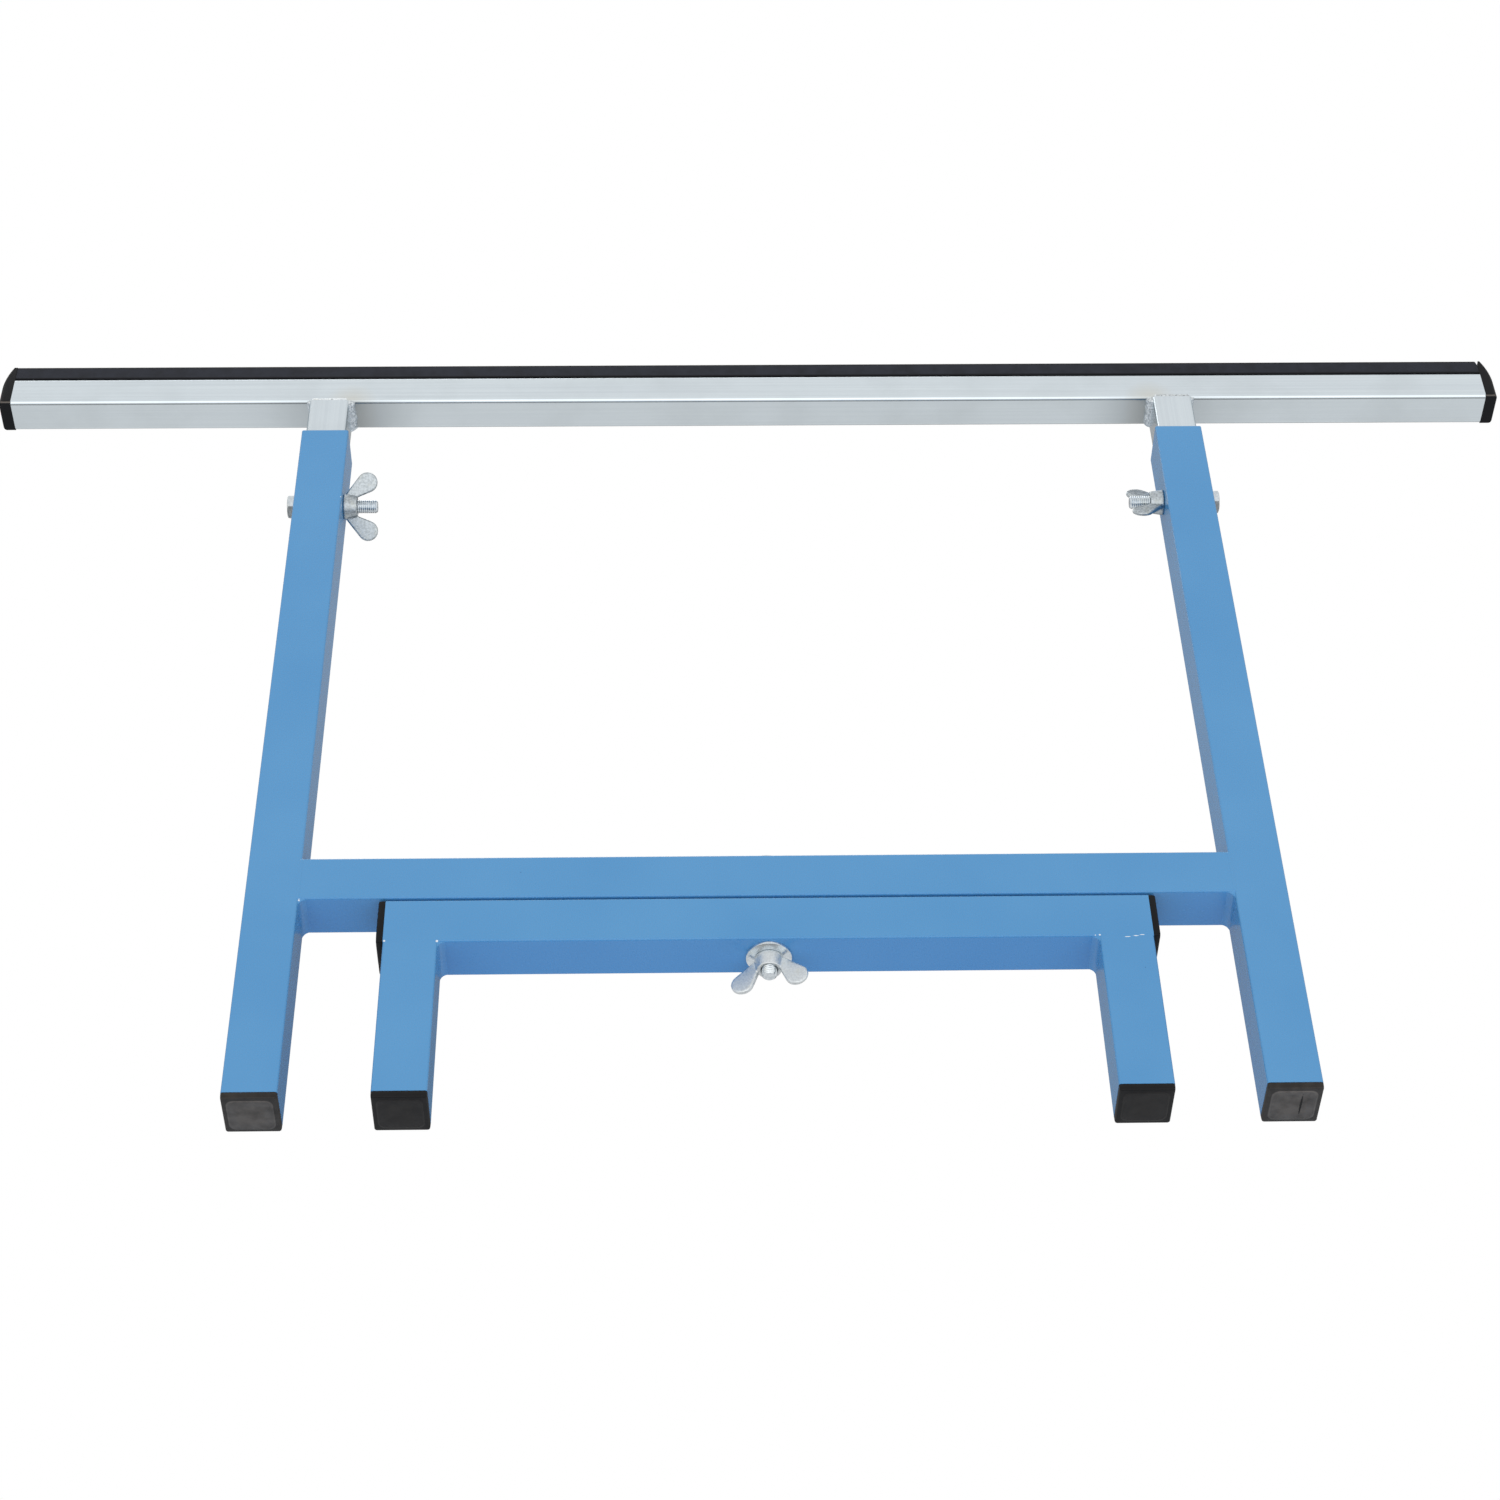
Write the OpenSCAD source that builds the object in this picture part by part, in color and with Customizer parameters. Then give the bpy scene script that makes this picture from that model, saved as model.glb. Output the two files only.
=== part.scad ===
// Height-adjustable builders trestle.
// A welded frame of square tube carries a T-shaped top that telescopes in its two uprights.
// A U-shaped foot under the crossbar lies in line with the frame for storage, and swivels
// about a vertical bolt until it stands across the frame.
// Millimetres. +Z is up, +X runs along the rail, and the front faces -Y.
// The origin is on the floor under the middle of the part, with the top at its lowest setting.

/* [Frame] */
// Outer side of the square frame tube
tube = 35; // [30:1:45]
// Wall of the frame tube
tube_wall = 2; // [1.5:0.5:3]
// Outer corner radius of the frame tube
tube_r = 1.5; // [1:0.5:4]
// Width over the two uprights
frame_w = 680; // [600:5:900]
// Height of the uprights' open tops above the floor
frame_h = 630; // [580:5:800]
// Height of the crossbar's underside above the floor
crossbar_z = 162; // [120:1:240]

/* [Cross foot] */
// Length of the foot's bar, without its plugs
foot_w = 496; // [360:2:580]

/* [Telescoping top] */
// Length of the rail, without its end caps
rail_l = 1130; // [900:2:1500]
// Side of the rail's square tube
rail_side = 28; // [24:1:32]
// Wall of the rail and of the two stubs
stock_wall = 2; // [1.5:0.5:3]
// Outer corner radius of the rail and of the two stubs
stock_r = 3; // [2:0.5:4]
// Clearance between stub and upright, on each side
slide_gap = 0.5; // [0.3:0.1:1]
// Bare stub between upright and rail at the lowest setting
stub_show = 38.5; // [25:0.5:80]
// How far the top can be raised
travel = 400; // [200:10:420]
// Length of stub below its slot's lower end
stub_tail = 25; // [15:1:50]
// Clearance between bolt and slot, on each side
slot_gap = 0.5; // [0.3:0.1:1]

/* [Strip and end caps] */
// Height of the strip on the rail
strip_h = 14.5; // [6:0.5:25]
// Radius of the strip's upper edges
strip_r = 2; // [1:0.5:5]
// Width that the notch between the strip's right end and its cap takes from each of them
notch_w = 1.4; // [0.5:0.1:2.5]
// Depth of that notch
notch_h = 6; // [1:0.5:12]
// Thickness of an end cap
cap_t = 9; // [6:0.5:16]
// Height of an end cap's straight outer side
cap_straight = 18; // [10:1:25]
// Thickness that is left at the top of an end cap
cap_crown = 3; // [1:0.5:4]
// Depth of an end cap's peg in the rail
cap_peg = 15; // [8:1:40]

/* [Plugs] */
// Thickness of a plug's rim
plug_rim = 5; // [3:0.5:10]
// Step round the outer end of a plug's rim
plug_step = 1; // [0.5:0.5:2]
// Depth of a plug's insert in the tube
plug_insert = 18; // [10:1:30]
// Wall of a plug's or cap's hollow insert
plug_wall = 2; // [1.5:0.5:4]
// Clearance between an insert and its tube, on each side
plug_gap = 0.3; // [0.1:0.1:0.6]

/* [Bolts] */
// Diameter of the bolts
bolt_d = 10; // [8:1:12]
// Clearance between bolt and drilled hole, all round
hole_gap = 0.25; // [0.1:0.05:0.5]
// Width of a bolt's hex head across its flats
head_s = 16; // [13:1:19]
// Height of a bolt's head
head_h = 6.4; // [5:0.1:8]
// Angle of the height bolts' heads, in degrees
head_turn = 14; // [0:1:60]
// Chamfer at a bolt's tip
bolt_tip = 1; // [0.5:0.5:2]
// Distance of the height bolts below the uprights' tops
bolt_drop = 67; // [40:1:90]
// Length of thread that shows past a height bolt's nut
thread_show = 15; // [5:1:30]
// Length of thread that shows past the pivot bolt's nut
pivot_thread_show = 5; // [2:1:20]

/* [Washers] */
// Diameter of the spacer and of the washer under the pivot bolt's head
small_washer_d = 20; // [18:1:28]
// Thickness of the spacer and of the washer under the pivot bolt's head
small_washer_t = 2; // [1.5:0.5:3]
// Diameter of the washer under the foot's bar
pivot_washer_d = 30; // [24:1:34]
// Thickness of the washer under the foot's bar
pivot_washer_t = 2.5; // [1.5:0.5:4]

/* [Wing nuts] */
// Span over a nut's two wings
nut_span = 51; // [44:1:60]
// Height of a nut over its wings
nut_h = 25; // [21:1:32]
// Height of a nut's hub
nut_hub_h = 10; // [8:1:13]
// Diameter of a hub at its base
nut_base_d = 19; // [18:0.5:24]
// Diameter of a hub at its top
nut_top_d = 16; // [15:0.5:18]
// Radius of a wing's lobe
lobe_r = 7.5; // [5:0.5:8]
// Thickness of a wing
wing_t = 3; // [2:0.5:5]
// Height of a wing's lower root above the nut's base
wing_lift = 0.5; // [0.5:0.5:2]
// Clearance between nut and thread, all round
thread_gap = 0.05; // [0.02:0.01:0.1]
// Angle of the left nut on its bolt, in degrees
left_turn = 46; // [-90:1:90]
// Angle of the right nut on its bolt, in degrees
right_turn = 21; // [-90:1:90]
// Angle of the pivot nut on its bolt, in degrees
pivot_turn = 15; // [-90:1:90]

/* [Welds] */
// Leg of the frame's and the foot's fillet welds
weld_leg = 5; // [2:0.5:6]
// Leg of the welds on the inner sides of the stubs
inner_weld_leg = 4.5; // [2:0.5:6]
// Leg of the welds on the outer sides of the stubs
outer_weld_leg = 2; // [1:0.5:6]

/* [Hidden] */
$fn = 48;
left = -1;
right = 1;
paint = "steelblue";
galvanised = "gainsboro";
zinc = "silver";
black = "dimgray";

// How far a cut runs past the faces it opens
through = 1;
// Smallest radius inside a tube's corner
least_r = 0.5;
// Share of a hex head's width that is flat on its outer face
head_flat = 0.95;
// Angle of the chamfer round a hex head's outer face
head_chamfer = 30;
// How far a wing's root reaches into its hub
wing_bite = 1;
// How far a wing's straight edges run inside its lobe's circle
lobe_bite = 0.2;

bore = tube - 2 * tube_wall;
stock = bore - 2 * slide_gap;
rail_bore = rail_side - 2 * stock_wall;
top_h = rail_side + strip_h;
upright_x = (frame_w - tube) / 2;
foot_leg_x = (foot_w - tube) / 2;
bar_z = crossbar_z - small_washer_t - tube;
bolt_z = frame_h - bolt_drop;
rail_z = frame_h + stub_show;
stub_end_z = bolt_z - travel - stub_tail;
slot_w = bolt_d + 2 * slot_gap;
// Radius of the arc from an end cap's straight outer side over to its top
cap_round = (pow(cap_t - cap_crown, 2) + pow(top_h - cap_straight, 2)) / (2 * (cap_t - cap_crown));

// Shapes that repeat

function inner_r(r, wall) = max(r - wall, least_r);

// Square with rounded corners, as the section of a tube
module round_square(side, r) {
    square([side - 2 * r, side], center = true);
    square([side, side - 2 * r], center = true);
    for (x = [-1, 1], y = [-1, 1])
        translate([x, y] * (side / 2 - r)) circle(r = r);
}

// Square tube that stands on the plane z = 0
module square_tube(length, side, wall, r) {
    linear_extrude(length) difference() {
        round_square(side, r);
        round_square(side - 2 * wall, inner_r(r, wall));
    }
}

// Square tube that lies along X, centred, with its underside at height z
module bar(length, side, wall, r, z) {
    translate([-length / 2, 0, z + side / 2]) rotate([0, 90, 0]) square_tube(length, side, wall, r);
}

// Drilled hole along Z, right through a tube
module drilling() {
    cylinder(d = bolt_d + 2 * hole_gap, h = tube + 2 * through, center = true);
}

// Plug for a tube's end, with its rim below z = 0 and its insert above
module plug() {
    translate([0, 0, -plug_rim]) linear_extrude(plug_rim) round_square(tube - 2 * plug_step, tube_r);
    translate([0, 0, plug_step - plug_rim]) linear_extrude(plug_rim - plug_step) round_square(tube, tube_r);
    square_tube(plug_insert, bore - 2 * plug_gap, plug_wall, tube_r);
}

module washer(d, t) {
    difference() {
        cylinder(d = d, h = t);
        translate([0, 0, -through]) cylinder(d = bolt_d + 2 * hole_gap, h = t + 2 * through);
    }
}

// Hex bolt along Z, with its head below z = 0
module hex_bolt(length) {
    flat_r = head_s / 2 * head_flat;
    translate([0, 0, -head_h]) intersection() {
        cylinder(d = head_s / cos(30), h = head_h, $fn = 6);
        cylinder(r1 = flat_r, r2 = flat_r + head_h / tan(head_chamfer), h = head_h);
    }
    cylinder(d = bolt_d, h = length - bolt_tip);
    translate([0, 0, length - bolt_tip])
        cylinder(d1 = bolt_d, d2 = bolt_d - 2 * bolt_tip, h = bolt_tip);
}

// Point where a line from p touches the circle of radius r round c, on the given side of the line to c
function tangent_point(p, c, r, side) = let(
    d = norm(c - p),
    a = atan2(c[1] - p[1], c[0] - p[0]) + side * asin(r / d)
) p + sqrt(d * d - r * r) * [cos(a), sin(a)];

// Outline of one wing, from its root in the hub to its round lobe
module wing_outline() {
    lobe = [nut_span / 2 - lobe_r, nut_h - lobe_r];
    low = [nut_base_d / 2 - wing_bite, wing_lift];
    high = [nut_top_d / 2 - wing_bite, nut_hub_h];
    edge_r = lobe_r - lobe_bite;
    polygon([low, tangent_point(low, lobe, edge_r, -1), lobe, tangent_point(high, lobe, edge_r, 1), high]);
    translate(lobe) circle(r = lobe_r);
}

// Wing nut that stands on the plane z = 0, turned about its axis
module wing_nut(turn) {
    rotate([0, 0, turn]) difference() {
        union() {
            cylinder(d1 = nut_base_d, d2 = nut_top_d, h = nut_hub_h);
            for (a = [0, 180])
                rotate([0, 0, a]) rotate([90, 0, 0]) linear_extrude(wing_t, center = true) wing_outline();
        }
        translate([0, 0, -through]) cylinder(d = bolt_d + 2 * thread_gap, h = nut_h + 2 * through);
    }
}

// Weld along Y in the corner between the planes x = 0 and z = 0
module weld(length, leg) {
    rotate([90, 0, 0]) linear_extrude(length, center = true) polygon([[0, 0], [leg, 0], [0, leg]]);
}

// Welds at the upper end of a post under a lying tube, with the corner on the plane z = 0.
// The first two fill the grooves beside the lying tube's round edges at the front and back,
// and the others lie in the corner on each side of the post that is listed with its leg.
module post_welds(side, over, r, faces) {
    seam = side - 2 * r;
    edge_leg = (side - over) / 2 + r * (2 - sqrt(2));
    for (a = [90, -90])
        rotate([0, 0, a]) translate([side / 2, 0, 0]) mirror([1, 0, 0]) weld(seam, edge_leg);
    for (face = faces)
        mirror([face[0] < 0 ? 1 : 0, 0, 0]) translate([side / 2, 0, 0]) mirror([0, 0, 1]) weld(seam, face[1]);
}

// Main frame

module upright(side) {
    color(paint) difference() {
        translate([side * upright_x, 0, plug_rim]) square_tube(frame_h - plug_rim, tube, tube_wall, tube_r);
        translate([side * upright_x, 0, bolt_z]) rotate([0, 90, 0]) drilling();
    }
}

module crossbar() {
    color(paint) difference() {
        bar(frame_w - 2 * tube, tube, tube_wall, tube_r, crossbar_z);
        translate([0, 0, crossbar_z + tube / 2]) drilling();
    }
}

// Each end of the crossbar is a post that lies on its side against an upright, with a fillet below
module frame_welds() {
    color(paint) for (side = [left, right])
        translate([side * (frame_w / 2 - tube), 0, crossbar_z + tube / 2])
            rotate([0, 90 * side, 0]) post_welds(tube, tube, tube_r, [[side, weld_leg]]);
}

module leg_plug(side) {
    color(black) translate([side * upright_x, 0, plug_rim]) plug();
}

// The head lies on the outer side of its upright
module height_bolt(side) {
    color(zinc) translate([side * frame_w / 2, 0, bolt_z]) rotate([0, -90 * side, 0])
        rotate([0, 0, -side * head_turn]) hex_bolt(tube + nut_hub_h + thread_show);
}

module pivot_bolt() {
    head_z = crossbar_z + tube + small_washer_t;
    grip = head_z - bar_z + pivot_washer_t;
    color(zinc) translate([0, 0, head_z]) rotate([180, 0, 0])
        hex_bolt(grip + nut_hub_h + pivot_thread_show);
}

module pivot_head_washer() {
    color(zinc) translate([0, 0, crossbar_z + tube]) washer(small_washer_d, small_washer_t);
}

// Telescoping top

module rail() {
    color(galvanised) bar(rail_l, rail_side, stock_wall, stock_r, rail_z);
}

// The slot lets the height bolt pass while the top slides
module stub(side) {
    color(galvanised) translate([side * upright_x, 0, 0]) difference() {
        translate([0, 0, stub_end_z]) square_tube(rail_z - stub_end_z, stock, stock_wall, stock_r);
        translate([0, 0, bolt_z - travel / 2]) cube([stock + 2 * through, slot_w, travel], center = true);
        for (z = [bolt_z - travel, bolt_z])
            translate([0, 0, z]) rotate([0, 90, 0])
                cylinder(d = slot_w, h = stock + 2 * through, center = true);
    }
}

module rail_welds() {
    color(galvanised) for (side = [left, right])
        translate([side * upright_x, 0, rail_z])
            post_welds(stock, rail_side, stock_r, [[-side, inner_weld_leg], [side, outer_weld_leg]]);
}

// Half of the V-shaped notch at the right end of the strip, which ends at x = 0 and y = 0
module notch_half() {
    polygon([[0, -notch_h], [through, -notch_h], [through, through], [-notch_w, through], [-notch_w, 0]]);
}

// Strip with rounded upper edges that lies on the rail
module top_strip() {
    color(black) translate([0, 0, rail_z + rail_side]) difference() {
        translate([-rail_l / 2, 0, 0]) rotate([90, 0, 90]) linear_extrude(rail_l) {
            translate([-rail_side / 2, 0]) square([rail_side, strip_h - strip_r]);
            translate([strip_r - rail_side / 2, 0]) square([rail_side - 2 * strip_r, strip_h]);
            for (side = [left, right])
                translate([side * (rail_side / 2 - strip_r), strip_h - strip_r]) circle(r = strip_r);
        }
        translate([rail_l / 2, 0, strip_h]) rotate([90, 0, 0])
            linear_extrude(rail_side + 2 * through, center = true) notch_half();
    }
}

// Plate over the ends of rail and strip that curves in towards its top, with a peg in the rail
module end_cap(side) {
    color(black) mirror([side < 0 ? 1 : 0, 0, 0]) translate([rail_l / 2, 0, rail_z]) {
        rotate([90, 0, 0]) linear_extrude(rail_side, center = true) difference() {
            union() {
                square([cap_t, cap_straight]);
                translate([0, cap_straight]) intersection() {
                    square([cap_t, top_h - cap_straight]);
                    translate([cap_t - cap_round, 0]) circle(r = cap_round);
                }
            }
            if (side == right) translate([0, top_h]) mirror([1, 0]) notch_half();
        }
        translate([-cap_peg, 0, rail_side / 2]) rotate([0, 90, 0])
            square_tube(cap_peg, rail_bore - 2 * plug_gap, plug_wall, inner_r(stock_r, stock_wall));
    }
}

// Cross foot

module foot_bar() {
    color(paint) difference() {
        bar(foot_w, tube, tube_wall, tube_r, bar_z);
        translate([0, 0, bar_z + tube / 2]) drilling();
    }
}

module foot_leg(side) {
    color(paint) translate([side * foot_leg_x, 0, plug_rim]) square_tube(bar_z - plug_rim, tube, tube_wall, tube_r);
}

// A leg's outer face is flush with the bar's end, so only its inner face has a corner
module foot_welds() {
    color(paint) for (side = [left, right])
        translate([side * foot_leg_x, 0, bar_z]) post_welds(tube, tube, tube_r, [[-side, weld_leg]]);
}

module bar_plug(side) {
    color(black) translate([side * foot_w / 2, 0, bar_z + tube / 2]) rotate([0, -90 * side, 0]) plug();
}

module foot_plug(side) {
    color(black) translate([side * foot_leg_x, 0, plug_rim]) plug();
}

module pivot_washer() {
    color(zinc) translate([0, 0, bar_z - pivot_washer_t]) washer(pivot_washer_d, pivot_washer_t);
}

module spacer_washer() {
    color(zinc) translate([0, 0, bar_z + tube]) washer(small_washer_d, small_washer_t);
}

// Wing nuts

module height_nut(side, turn) {
    color(zinc) translate([side * (frame_w / 2 - tube), 0, bolt_z]) rotate([0, -90 * side, 0]) wing_nut(turn);
}

module pivot_wing_nut() {
    color(zinc) translate([0, 0, bar_z - pivot_washer_t]) rotate([180, 0, 0]) wing_nut(pivot_turn);
}

upright(left);  // upright_left
upright(right);  // upright_right
crossbar();
frame_welds();
leg_plug(left);  // leg_plug_left
leg_plug(right);  // leg_plug_right
height_bolt(left);  // height_bolt_left
height_bolt(right);  // height_bolt_right
pivot_bolt();
pivot_head_washer();
rail();
stub(left);  // stub_left
stub(right);  // stub_right
rail_welds();
top_strip();
end_cap(left);  // end_cap_left
end_cap(right);  // end_cap_right
foot_bar();
foot_leg(left);  // foot_leg_left
foot_leg(right);  // foot_leg_right
foot_welds();
bar_plug(left);  // bar_plug_left
bar_plug(right);  // bar_plug_right
foot_plug(left);  // foot_plug_left
foot_plug(right);  // foot_plug_right
pivot_washer();
spacer_washer();
height_nut(left, left_turn);  // wing_nut_left
height_nut(right, right_turn);  // wing_nut_right
pivot_wing_nut();
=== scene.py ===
# %% [markdown]
# # A builders trestle, dressed over its CAD frame
# The trestle is a welded frame of blue square tube. A galvanised T-top telescopes in its uprights,
# and a U-shaped foot swivels under its crossbar. The CAD model already holds the true tubes, bores and
# slots, so the tubes keep their CAD meshes and only get better materials. Everything that is moulded,
# cast, welded or threaded is made anew below, because its rounded edges, ripples and threads are what
# the eye looks for.

import bmesh
import bpy
import numpy as np
from mathutils import Matrix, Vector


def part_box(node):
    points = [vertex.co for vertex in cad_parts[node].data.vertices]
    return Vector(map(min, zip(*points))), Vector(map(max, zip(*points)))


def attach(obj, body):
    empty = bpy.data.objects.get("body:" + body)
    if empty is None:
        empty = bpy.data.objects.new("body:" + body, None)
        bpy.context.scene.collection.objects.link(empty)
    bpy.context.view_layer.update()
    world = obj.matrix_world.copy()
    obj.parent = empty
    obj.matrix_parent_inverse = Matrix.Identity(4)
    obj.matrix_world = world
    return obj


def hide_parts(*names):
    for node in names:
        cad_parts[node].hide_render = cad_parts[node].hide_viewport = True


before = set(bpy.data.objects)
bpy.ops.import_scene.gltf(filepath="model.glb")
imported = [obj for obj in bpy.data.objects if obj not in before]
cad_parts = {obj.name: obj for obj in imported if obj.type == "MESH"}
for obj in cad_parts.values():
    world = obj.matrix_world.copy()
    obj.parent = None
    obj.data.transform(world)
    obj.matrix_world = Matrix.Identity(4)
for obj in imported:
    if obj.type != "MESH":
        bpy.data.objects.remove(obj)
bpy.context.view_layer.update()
MM = 0.001
LEFT, RIGHT = -1, 1
SIDES = {"left": LEFT, "right": RIGHT}

# %% [markdown]
# ## Sizes
# Lengths below are in millimetres, and most of them are read from the boxes of the CAD nodes. A scene
# that measures its frame fits it at once when a size changes. Only what a box can't tell, such as a
# corner radius or a thread's pitch, is written as a number.

# %% Measure the frame


def box_mm(node):
    """Lowest and highest corner of a CAD node, in millimetres."""
    return [np.array(corner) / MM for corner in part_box(node)]


def size_mm(node):
    low, high = box_mm(node)
    return high - low


def middle_mm(node):
    low, high = box_mm(node)
    return (low + high) / 2


TUBE = size_mm("upright_left")[0]
TUBE_R = 1.5
STOCK = size_mm("stub_left")[0]
RAIL_SIDE = size_mm("rail")[2]
STOCK_R = 3.0
FRAME_W = box_mm("upright_right")[1][0] * 2
UPRIGHT_X = middle_mm("upright_right")[0]
FOOT_LEG_X = middle_mm("foot_leg_right")[0]
FOOT_W = size_mm("foot_bar")[0]
BAR_Z = box_mm("foot_bar")[0][2]
CROSSBAR_Z = middle_mm("crossbar")[2]
RAIL_Z = box_mm("rail")[0][2]
BOLT_Z = middle_mm("height_bolt_left")[2]
PLUG_RIM = box_mm("upright_left")[0][2]
print(f"tube {TUBE:.1f}, stub {STOCK:.1f}, rail {RAIL_SIDE:.1f}")
print(f"frame {FRAME_W:.0f} wide, bolts at {BOLT_Z:.0f}")

# %% [markdown]
# ## From numbers to meshes
# Each new piece is one or more grids of points. A grid has rows and columns, and its faces join each
# point to its neighbours, so a whole surface is a formula on arrays. Where a grid runs to a single
# point, as at the middle of a plug, the doubles are merged and the pole closes.

# %% Grids of points become objects

MERGE_MM = 0.002


def quads(rows, cols, close_rows, close_cols):
    """Corners of a grid's faces: point (r, c) with its neighbours in the next column and the next row."""
    r = np.arange(rows if close_rows else rows - 1)[:, None]
    c = np.arange(cols if close_cols else cols - 1)[None, :]
    next_r = (r + 1) % rows
    next_c = (c + 1) % cols
    corners = [r * cols + c, r * cols + next_c, next_r * cols + next_c, next_r * cols + c]
    return np.stack(corners, -1).reshape(-1, 4)


def grid_mesh(name, grids, wear_and_sheen=None):
    """One mesh from grids of (points in millimetres [rows, cols, 3], close_rows, close_cols). Where the last
    argument is given, it has a value for each point: wear on the plugs, bloom on the strip, and a painted
    highlight along the end caps' lower creases."""
    points, faces, start = [], [], 0
    for grid, close_rows, close_cols in grids:
        rows, cols = grid.shape[:2]
        faces += (quads(rows, cols, close_rows, close_cols) + start).tolist()
        points.append(grid.reshape(-1, 3))
        start += rows * cols
    mesh = bpy.data.meshes.new(name)
    mesh.from_pydata((np.concatenate(points) * MM).tolist(), [], faces)
    if wear_and_sheen is not None:
        layer = mesh.attributes.new("wear_and_sheen", "FLOAT", "POINT")
        layer.data.foreach_set("value", wear_and_sheen.ravel().astype(np.float32))
    work = bmesh.new()
    work.from_mesh(mesh)
    bmesh.ops.remove_doubles(work, verts=work.verts, dist=MERGE_MM * MM)
    bmesh.ops.recalc_face_normals(work, faces=work.faces)
    work.to_mesh(mesh)
    work.free()
    return mesh


def add_piece(name, mesh, material, body, slot, *nodes, sharp=40):
    """An object at the origin that rides on a body and stands for CAD nodes. Edges over sharp degrees stay
    crisp."""
    mesh.shade_smooth()
    mesh.set_sharp_from_angle(angle=np.radians(sharp))
    mesh.materials.clear()
    mesh.materials.append(material)
    piece = bpy.data.objects.new(name, mesh)
    bpy.context.collection.objects.link(piece)
    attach(piece, body)
    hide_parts(*nodes)
    print(f"{name}: {len(mesh.polygons)} faces on {body}")


# %% Place a piece


def place(points, origin, axes):
    """Points of a piece's own frame in the trestle's: x, y and z go along the three axes from origin."""
    return points @ np.array(axes, float) + np.array(origin, float)


def sideways(side):
    """Axes of a piece whose z points from the given side of the trestle towards its middle."""
    return [(0, 0, side), (0, 1, 0), (-side, 0, 0)]


def spun(degrees):
    """Matrix that turns rows of points about z, counter-clockwise."""
    turn = np.radians(degrees)
    return np.array([(np.cos(turn), np.sin(turn), 0), (-np.sin(turn), np.cos(turn), 0), (0, 0, 1)])


UPRIGHT = np.eye(3)
HANGING = [(1, 0, 0), (0, -1, 0), (0, 0, -1)]

# %% [markdown]
# ## Materials
# A finish is a small node tree on a Principled shader. Colours are written as sRGB hex values, as a colour
# picker gives them, and turned to linear light once. Every pattern reads Object coordinates, which are
# metres here, so a pattern that repeats every so many millimetres has a scale of 1000 divided by that many.

# %% Colours and nodes

WHITE = (1, 1, 1, 1)


def linear(hex_colour):
    """sRGB hex to linear light: c / 12.92 when dark, ((c + 0.055) / 1.055) ** 2.4 otherwise."""
    value = np.array([int(hex_colour[i:i + 2], 16) for i in (1, 3, 5)]) / 255
    light = np.where(value <= 0.04045, value / 12.92, ((value + 0.055) / 1.055) ** 2.4)
    return (*light, 1.0)


def add(tree, kind, inputs=None, **settings):
    """Adds a node with its settings, and fills its inputs with numbers or links from other outputs."""
    node = tree.nodes.new("ShaderNode" + kind)
    for key, value in settings.items():
        setattr(node, key, value)
    for socket, value in (inputs or {}).items():
        if isinstance(value, bpy.types.NodeSocket):
            tree.links.new(value, node.inputs[socket])
        else:
            node.inputs[socket].default_value = value
    return node


def new_material(name, **constants):
    """A material with a Principled shader, whose constant sockets are set on the shader itself."""
    material = bpy.data.materials.new(name)
    material.use_nodes = True
    tree = material.node_tree
    shader = tree.nodes["Principled BSDF"]
    for socket, value in constants.items():
        shader.inputs[socket.replace("_", " ")].default_value = value
    coords = add(tree, "TexCoord").outputs["Object"]
    return material, tree, shader, coords


# %% Patterns

MOST = (0.3, 0.7)


def per_mm(size):
    """Texture scale, in one over metres, of a pattern whose features are this many millimetres."""
    return 1 / (size * MM)


def noise(tree, coords, size, detail):
    """Soft noise with features of this many millimetres. Most of its values lie within MOST."""
    return add(tree, "TexNoise", {"Vector": coords, "Scale": per_mm(size), "Detail": detail}).outputs["Fac"]


def calc(tree, operation, *values):
    """The result of an operation on numbers or other nodes' outputs."""
    return add(tree, "Math", dict(enumerate(values)), operation=operation).outputs[0]


def spread(tree, value, low, high, to_low, to_high):
    """The part of a pattern between low and high, stretched from to_low to to_high."""
    return add(tree, "MapRange", {0: value, 1: low, 2: high, 3: to_low, 4: to_high}).outputs[0]


def fade(tree, factor, first, second):
    """Mixes two numbers: first where factor is 0, second where it is 1."""
    return add(tree, "Mix", {0: factor, 2: first, 3: second}, data_type="FLOAT").outputs[0]


def blend(tree, factor, first, second):
    """Mixes two colours: first where factor is 0, second where it is 1."""
    return add(tree, "Mix", {0: factor, 6: first, 7: second}, data_type="RGBA").outputs[2]


def relief(tree, shader, height, depth_mm, strength):
    """Bump whose highest point stands depth_mm above its lowest."""
    bump = add(tree, "Bump", {"Height": height, "Distance": depth_mm * MM, "Strength": strength})
    tree.links.new(bump.outputs["Normal"], shader.inputs["Normal"])


# %% [markdown]
# ### Powder-coated steel
# The frame is sprayed with polyester powder and baked. The melt flows out into a thick glossy skin with
# a faint orange peel, about 2 mm from bump to bump. The colour is even, with slow shifts in thickness,
# and a few specks of dust are baked in. The peel is drawn a little coarser than it is, so that it shows.
# The small pale marks, most of them where a bead starts or stops, are painted highlights for glints of light
# on lumps there. The drawn-out ones on the right foot leg's seam are a real scuff. Each mark is a ball in
# Object coordinates, drawn out into a scratch where it needs to be, with noise on its radius, so tube and
# bead share it.

# %% Marks with ragged edges

GRIT = 0.9


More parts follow.
